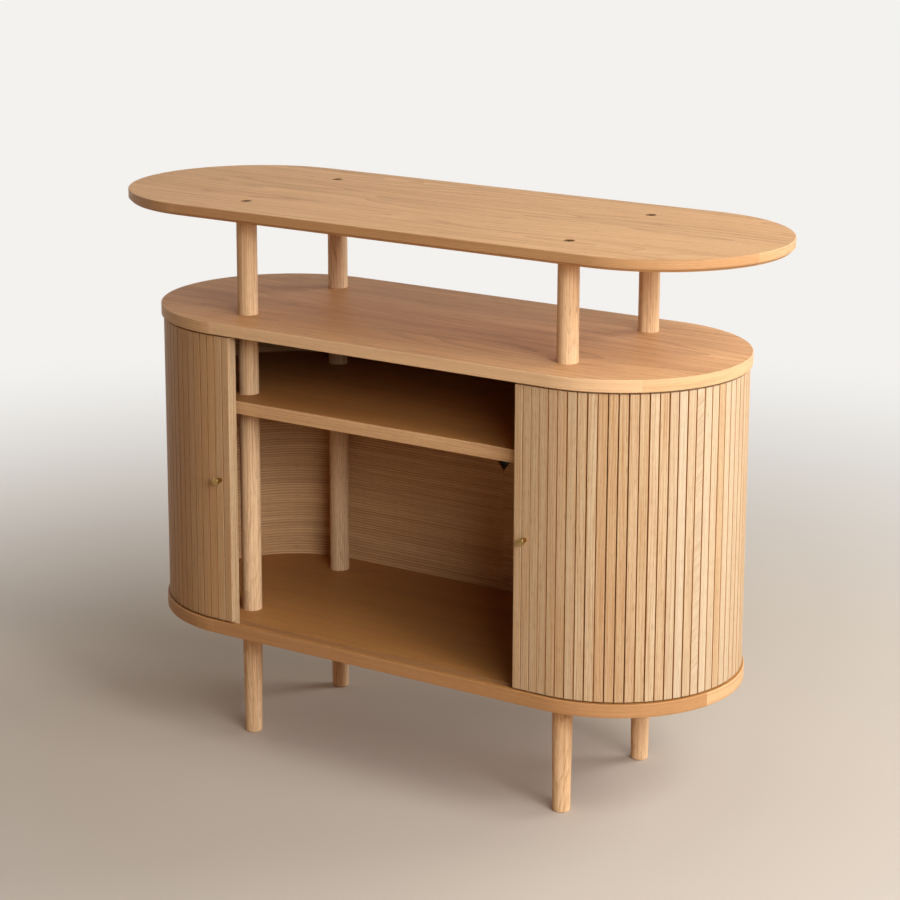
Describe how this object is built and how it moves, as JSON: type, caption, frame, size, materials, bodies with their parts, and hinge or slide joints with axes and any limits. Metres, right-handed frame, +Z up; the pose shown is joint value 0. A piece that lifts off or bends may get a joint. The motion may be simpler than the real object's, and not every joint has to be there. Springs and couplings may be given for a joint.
{
  "type": "storage cabinet",
  "caption": "Oval oak cabinet with slatted tambour doors that slide round its ends, an inner shelf and a raised top, carried on round posts that run through it down to the floor.",
  "frame": {"origin": "On the floor, under the middle of the cabinet", "axes": "+X along the length to the right of someone facing the doors, -Y towards that person, +Z up"},
  "size_m": [1.2, 0.444, 0.925],
  "materials": {
    "oak_board": "satin oil",
    "oak_post": "satin oil",
    "oak_slat": "satin oil",
    "liner_veneer": "satin oil",
    "brass": "satin",
    "bronzed_steel": "dark bronze"
  },
  "bodies": {
    "cabinet": {"back_stile": "oak_slat", "bottom_board": "oak_board", "cabinet_top": "oak_board", "liner_left": "liner_veneer", "liner_right": "liner_veneer", "post_front_left": "oak_post", "post_front_right": "oak_post", "post_rear_left": "oak_post", "post_rear_right": "oak_post", "raised_top": "oak_board", "shelf": "oak_board", "top_bolt_front_left": "bronzed_steel", "top_bolt_front_right": "bronzed_steel", "top_bolt_rear_left": "bronzed_steel", "top_bolt_rear_right": "bronzed_steel"},
    "left_door": {"left_stile": "oak_slat", "left_knob": "brass", "left_knob_screw": "bronzed_steel"},
    "left_slats_01": {"left_slats_01": "oak_slat"},
    "left_slats_02": {"left_slats_02": "oak_slat"},
    "left_slats_03": {"left_slats_03": "oak_slat"},
    "left_slats_04": {"left_slats_04": "oak_slat"},
    "left_slats_05": {"left_slats_05": "oak_slat"},
    "left_slats_06": {"left_slats_06": "oak_slat"},
    "left_slats_07": {"left_slats_07": "oak_slat"},
    "left_slats_08": {"left_slats_08": "oak_slat"},
    "left_slats_09": {"left_slats_09": "oak_slat"},
    "left_slats_10": {"left_slats_10": "oak_slat"},
    "left_end_slats": {"left_end_slats": "oak_slat"},
    "left_tail_slats_1": {"left_tail_slats_1": "oak_slat"},
    "left_tail_slats_2": {"left_tail_slats_2": "oak_slat"},
    "left_tail_slats_3": {"left_tail_slats_3": "oak_slat"},
    "left_tail_slats_4": {"left_tail_slats_4": "oak_slat"},
    "left_tail_slats_5": {"left_tail_slats_5": "oak_slat"},
    "left_tail_slats_6": {"left_tail_slats_6": "oak_slat"},
    "left_tail_slats_7": {"left_tail_slats_7": "oak_slat"},
    "right_door": {"right_stile": "oak_slat", "right_knob": "brass", "right_knob_screw": "bronzed_steel", "right_slats_01": "oak_slat"},
    "right_slats_02": {"right_slats_02": "oak_slat"},
    "right_slats_03": {"right_slats_03": "oak_slat"},
    "right_slats_04": {"right_slats_04": "oak_slat"},
    "right_slats_05": {"right_slats_05": "oak_slat"},
    "right_slats_06": {"right_slats_06": "oak_slat"},
    "right_slats_07": {"right_slats_07": "oak_slat"},
    "right_slats_08": {"right_slats_08": "oak_slat"},
    "right_slats_09": {"right_slats_09": "oak_slat"},
    "right_slats_10": {"right_slats_10": "oak_slat"},
    "right_end_slats": {"right_end_slats": "oak_slat"},
    "right_tail_slats_1": {"right_tail_slats_1": "oak_slat"},
    "right_tail_slats_2": {"right_tail_slats_2": "oak_slat"},
    "right_tail_slats_3": {"right_tail_slats_3": "oak_slat"},
    "right_tail_slats_4": {"right_tail_slats_4": "oak_slat"},
    "right_tail_slats_5": {"right_tail_slats_5": "oak_slat"},
    "right_tail_slats_6": {"right_tail_slats_6": "oak_slat"},
    "right_tail_slats_7": {"right_tail_slats_7": "oak_slat"}
  },
  "joints": [
    {"name": "left_door", "type": "slide", "parent": "cabinet", "child": "left_door", "axis": [1, 0, 0], "range_m": [0, 0.2842]},
    {"name": "left_slats_01", "type": "hinge", "parent": "cabinet", "child": "left_slats_01", "pos_m": [-0.18135, 4.59801, 0], "axis": [0, 0, 1], "range_deg": [-0.02, 3.41]},
    {"name": "left_slats_02", "type": "hinge", "parent": "cabinet", "child": "left_slats_02", "pos_m": [-0.19625, 1.16469, 0], "axis": [0, 0, 1], "range_deg": [-0.02, 11.91]},
    {"name": "left_slats_03", "type": "hinge", "parent": "cabinet", "child": "left_slats_03", "pos_m": [-0.21115, 0.59162, 0], "axis": [0, 0, 1], "range_deg": [-0.02, 20.4]},
    {"name": "left_slats_04", "type": "hinge", "parent": "cabinet", "child": "left_slats_04", "pos_m": [-0.22605, 0.3552, 0], "axis": [0, 0, 1], "range_deg": [-0.02, 28.9]},
    {"name": "left_slats_05", "type": "hinge", "parent": "cabinet", "child": "left_slats_05", "pos_m": [-0.24095, 0.22635, 0], "axis": [0, 0, 1], "range_deg": [-0.02, 37.39]},
    {"name": "left_slats_06", "type": "hinge", "parent": "cabinet", "child": "left_slats_06", "pos_m": [-0.25585, 0.14572, 0], "axis": [0, 0, 1], "range_deg": [-0.02, 45.89]},
    {"name": "left_slats_07", "type": "hinge", "parent": "cabinet", "child": "left_slats_07", "pos_m": [-0.27075, 0.09104, 0], "axis": [0, 0, 1], "range_deg": [-0.02, 54.38]},
    {"name": "left_slats_08", "type": "hinge", "parent": "cabinet", "child": "left_slats_08", "pos_m": [-0.28565, 0.05212, 0], "axis": [0, 0, 1], "range_deg": [-0.02, 62.87]},
    {"name": "left_slats_09", "type": "hinge", "parent": "cabinet", "child": "left_slats_09", "pos_m": [-0.30055, 0.02361, 0], "axis": [0, 0, 1], "range_deg": [-0.02, 71.37]},
    {"name": "left_slats_10", "type": "hinge", "parent": "cabinet", "child": "left_slats_10", "pos_m": [-0.31545, 0.00245, 0], "axis": [0, 0, 1], "range_deg": [-0.02, 79.86]},
    {"name": "left_end_slats", "type": "hinge", "parent": "cabinet", "child": "left_end_slats", "pos_m": [-0.3175, 0, 0], "axis": [0, 0, 1], "range_deg": [-0.02, 81.03]},
    {"name": "left_tail_slats_1", "type": "hinge", "parent": "cabinet", "child": "left_tail_slats_1", "pos_m": [-0.31066, -0.00859, 0], "axis": [0, 0, 1], "range_deg": [-0.02, 77.13]},
    {"name": "left_tail_slats_2", "type": "hinge", "parent": "cabinet", "child": "left_tail_slats_2", "pos_m": [-0.2883, -0.04639, 0], "axis": [0, 0, 1], "range_deg": [-0.02, 64.39]},
    {"name": "left_tail_slats_3", "type": "hinge", "parent": "cabinet", "child": "left_tail_slats_3", "pos_m": [-0.26595, -0.10656, 0], "axis": [0, 0, 1], "range_deg": [-0.02, 51.65]},
    {"name": "left_tail_slats_4", "type": "hinge", "parent": "cabinet", "child": "left_tail_slats_4", "pos_m": [-0.2436, -0.20935, 0], "axis": [0, 0, 1], "range_deg": [-0.02, 38.9]},
    {"name": "left_tail_slats_5", "type": "hinge", "parent": "cabinet", "child": "left_tail_slats_5", "pos_m": [-0.22126, -0.41453, 0], "axis": [0, 0, 1], "range_deg": [-0.02, 26.16]},
    {"name": "left_tail_slats_6", "type": "hinge", "parent": "cabinet", "child": "left_tail_slats_6", "pos_m": [-0.1989, -1.00952, 0], "axis": [0, 0, 1], "range_deg": [-0.02, 13.42]},
    {"name": "left_tail_slats_7", "type": "slide", "parent": "cabinet", "child": "left_tail_slats_7", "axis": [-1, 0, 0], "range_m": [-0.0001, 0.2843]},
    {"name": "right_door", "type": "slide", "parent": "cabinet", "child": "right_door", "axis": [-1, 0, 0], "range_m": [-0.0215, 0.2627]},
    {"name": "right_slats_02", "type": "hinge", "parent": "cabinet", "child": "right_slats_02", "pos_m": [0.19625, 2.41096, 0], "axis": [0, 0, 1], "range_deg": [-5.78, 0.49]},
    {"name": "right_slats_03", "type": "hinge", "parent": "cabinet", "child": "right_slats_03", "pos_m": [0.21115, 0.85064, 0], "axis": [0, 0, 1], "range_deg": [-14.27, 1.19]},
    {"name": "right_slats_04", "type": "hinge", "parent": "cabinet", "child": "right_slats_04", "pos_m": [0.22605, 0.45462, 0], "axis": [0, 0, 1], "range_deg": [-22.77, 1.88]},
    {"name": "right_slats_05", "type": "hinge", "parent": "cabinet", "child": "right_slats_05", "pos_m": [0.24095, 0.27379, 0], "axis": [0, 0, 1], "range_deg": [-31.26, 2.58]},
    {"name": "right_slats_06", "type": "hinge", "parent": "cabinet", "child": "right_slats_06", "pos_m": [0.25585, 0.1706, 0], "axis": [0, 0, 1], "range_deg": [-39.76, 3.27]},
    {"name": "right_slats_07", "type": "hinge", "parent": "cabinet", "child": "right_slats_07", "pos_m": [0.27075, 0.10444, 0], "axis": [0, 0, 1], "range_deg": [-48.25, 3.97]},
    {"name": "right_slats_08", "type": "hinge", "parent": "cabinet", "child": "right_slats_08", "pos_m": [0.28565, 0.059, 0], "axis": [0, 0, 1], "range_deg": [-56.75, 4.66]},
    {"name": "right_slats_09", "type": "hinge", "parent": "cabinet", "child": "right_slats_09", "pos_m": [0.30055, 0.02649, 0], "axis": [0, 0, 1], "range_deg": [-65.24, 5.36]},
    {"name": "right_slats_10", "type": "hinge", "parent": "cabinet", "child": "right_slats_10", "pos_m": [0.31545, 0.00274, 0], "axis": [0, 0, 1], "range_deg": [-73.73, 6.05]},
    {"name": "right_end_slats", "type": "hinge", "parent": "cabinet", "child": "right_end_slats", "pos_m": [0.3175, 0, 0], "axis": [0, 0, 1], "range_deg": [-74.9, 6.15]},
    {"name": "right_tail_slats_1", "type": "hinge", "parent": "cabinet", "child": "right_tail_slats_1", "pos_m": [0.3175, 0, 0], "axis": [0, 0, 1], "range_deg": [-74.9, 6.15]},
    {"name": "right_tail_slats_2", "type": "hinge", "parent": "cabinet", "child": "right_tail_slats_2", "pos_m": [0.29906, -0.02931, 0], "axis": [0, 0, 1], "range_deg": [-64.39, 5.29]},
    {"name": "right_tail_slats_3", "type": "hinge", "parent": "cabinet", "child": "right_tail_slats_3", "pos_m": [0.2767, -0.08434, 0], "axis": [0, 0, 1], "range_deg": [-51.65, 4.25]},
    {"name": "right_tail_slats_4", "type": "hinge", "parent": "cabinet", "child": "right_tail_slats_4", "pos_m": [0.25435, -0.17889, 0], "axis": [0, 0, 1], "range_deg": [-38.9, 3.2]},
    {"name": "right_tail_slats_5", "type": "hinge", "parent": "cabinet", "child": "right_tail_slats_5", "pos_m": [0.232, -0.36823, 0], "axis": [0, 0, 1], "range_deg": [-26.16, 2.16]},
    {"name": "right_tail_slats_6", "type": "hinge", "parent": "cabinet", "child": "right_tail_slats_6", "pos_m": [0.20966, -0.91801, 0], "axis": [0, 0, 1], "range_deg": [-13.42, 1.12]},
    {"name": "right_tail_slats_7", "type": "slide", "parent": "cabinet", "child": "right_tail_slats_7", "axis": [1, 0, 0], "range_m": [-0.0216, 0.2628]}
  ],
  "couplings": [
    {"joint": "left_slats_01", "follows": "left_door", "rad_per_m": 0.20832},
    {"joint": "left_slats_02", "follows": "left_door", "rad_per_m": 0.72999},
    {"joint": "left_slats_03", "follows": "left_door", "rad_per_m": 1.2517},
    {"joint": "left_slats_04", "follows": "left_door", "rad_per_m": 1.7733},
    {"joint": "left_slats_05", "follows": "left_door", "rad_per_m": 2.295},
    {"joint": "left_slats_06", "follows": "left_door", "rad_per_m": 2.8167},
    {"joint": "left_slats_07", "follows": "left_door", "rad_per_m": 3.3383},
    {"joint": "left_slats_08", "follows": "left_door", "rad_per_m": 3.86},
    {"joint": "left_slats_09", "follows": "left_door", "rad_per_m": 4.3817},
    {"joint": "left_slats_10", "follows": "left_door", "rad_per_m": 4.9034},
    {"joint": "left_end_slats", "follows": "left_door", "rad_per_m": 4.9751},
    {"joint": "left_tail_slats_1", "follows": "left_door", "rad_per_m": 4.7355},
    {"joint": "left_tail_slats_2", "follows": "left_door", "rad_per_m": 3.953},
    {"joint": "left_tail_slats_3", "follows": "left_door", "rad_per_m": 3.1705},
    {"joint": "left_tail_slats_4", "follows": "left_door", "rad_per_m": 2.388},
    {"joint": "left_tail_slats_5", "follows": "left_door", "rad_per_m": 1.6055},
    {"joint": "left_tail_slats_6", "follows": "left_door", "rad_per_m": 0.82295},
    {"joint": "left_tail_slats_7", "follows": "left_door", "ratio": 1},
    {"joint": "right_slats_02", "follows": "right_door", "rad_per_m": -0.38256},
    {"joint": "right_slats_03", "follows": "right_door", "rad_per_m": -0.94692},
    {"joint": "right_slats_04", "follows": "right_door", "rad_per_m": -1.5113},
    {"joint": "right_slats_05", "follows": "right_door", "rad_per_m": -2.0757},
    {"joint": "right_slats_06", "follows": "right_door", "rad_per_m": -2.64},
    {"joint": "right_slats_07", "follows": "right_door", "rad_per_m": -3.2044},
    {"joint": "right_slats_08", "follows": "right_door", "rad_per_m": -3.7687},
    {"joint": "right_slats_09", "follows": "right_door", "rad_per_m": -4.3331},
    {"joint": "right_slats_10", "follows": "right_door", "rad_per_m": -4.8975},
    {"joint": "right_end_slats", "follows": "right_door", "rad_per_m": -4.9751},
    {"joint": "right_tail_slats_1", "follows": "right_door", "rad_per_m": -4.9751},
    {"joint": "right_tail_slats_2", "follows": "right_door", "rad_per_m": -4.2765},
    {"joint": "right_tail_slats_3", "follows": "right_door", "rad_per_m": -3.4299},
    {"joint": "right_tail_slats_4", "follows": "right_door", "rad_per_m": -2.5834},
    {"joint": "right_tail_slats_5", "follows": "right_door", "rad_per_m": -1.7368},
    {"joint": "right_tail_slats_6", "follows": "right_door", "rad_per_m": -0.8903},
    {"joint": "right_tail_slats_7", "follows": "right_door", "ratio": 1}
  ]
}
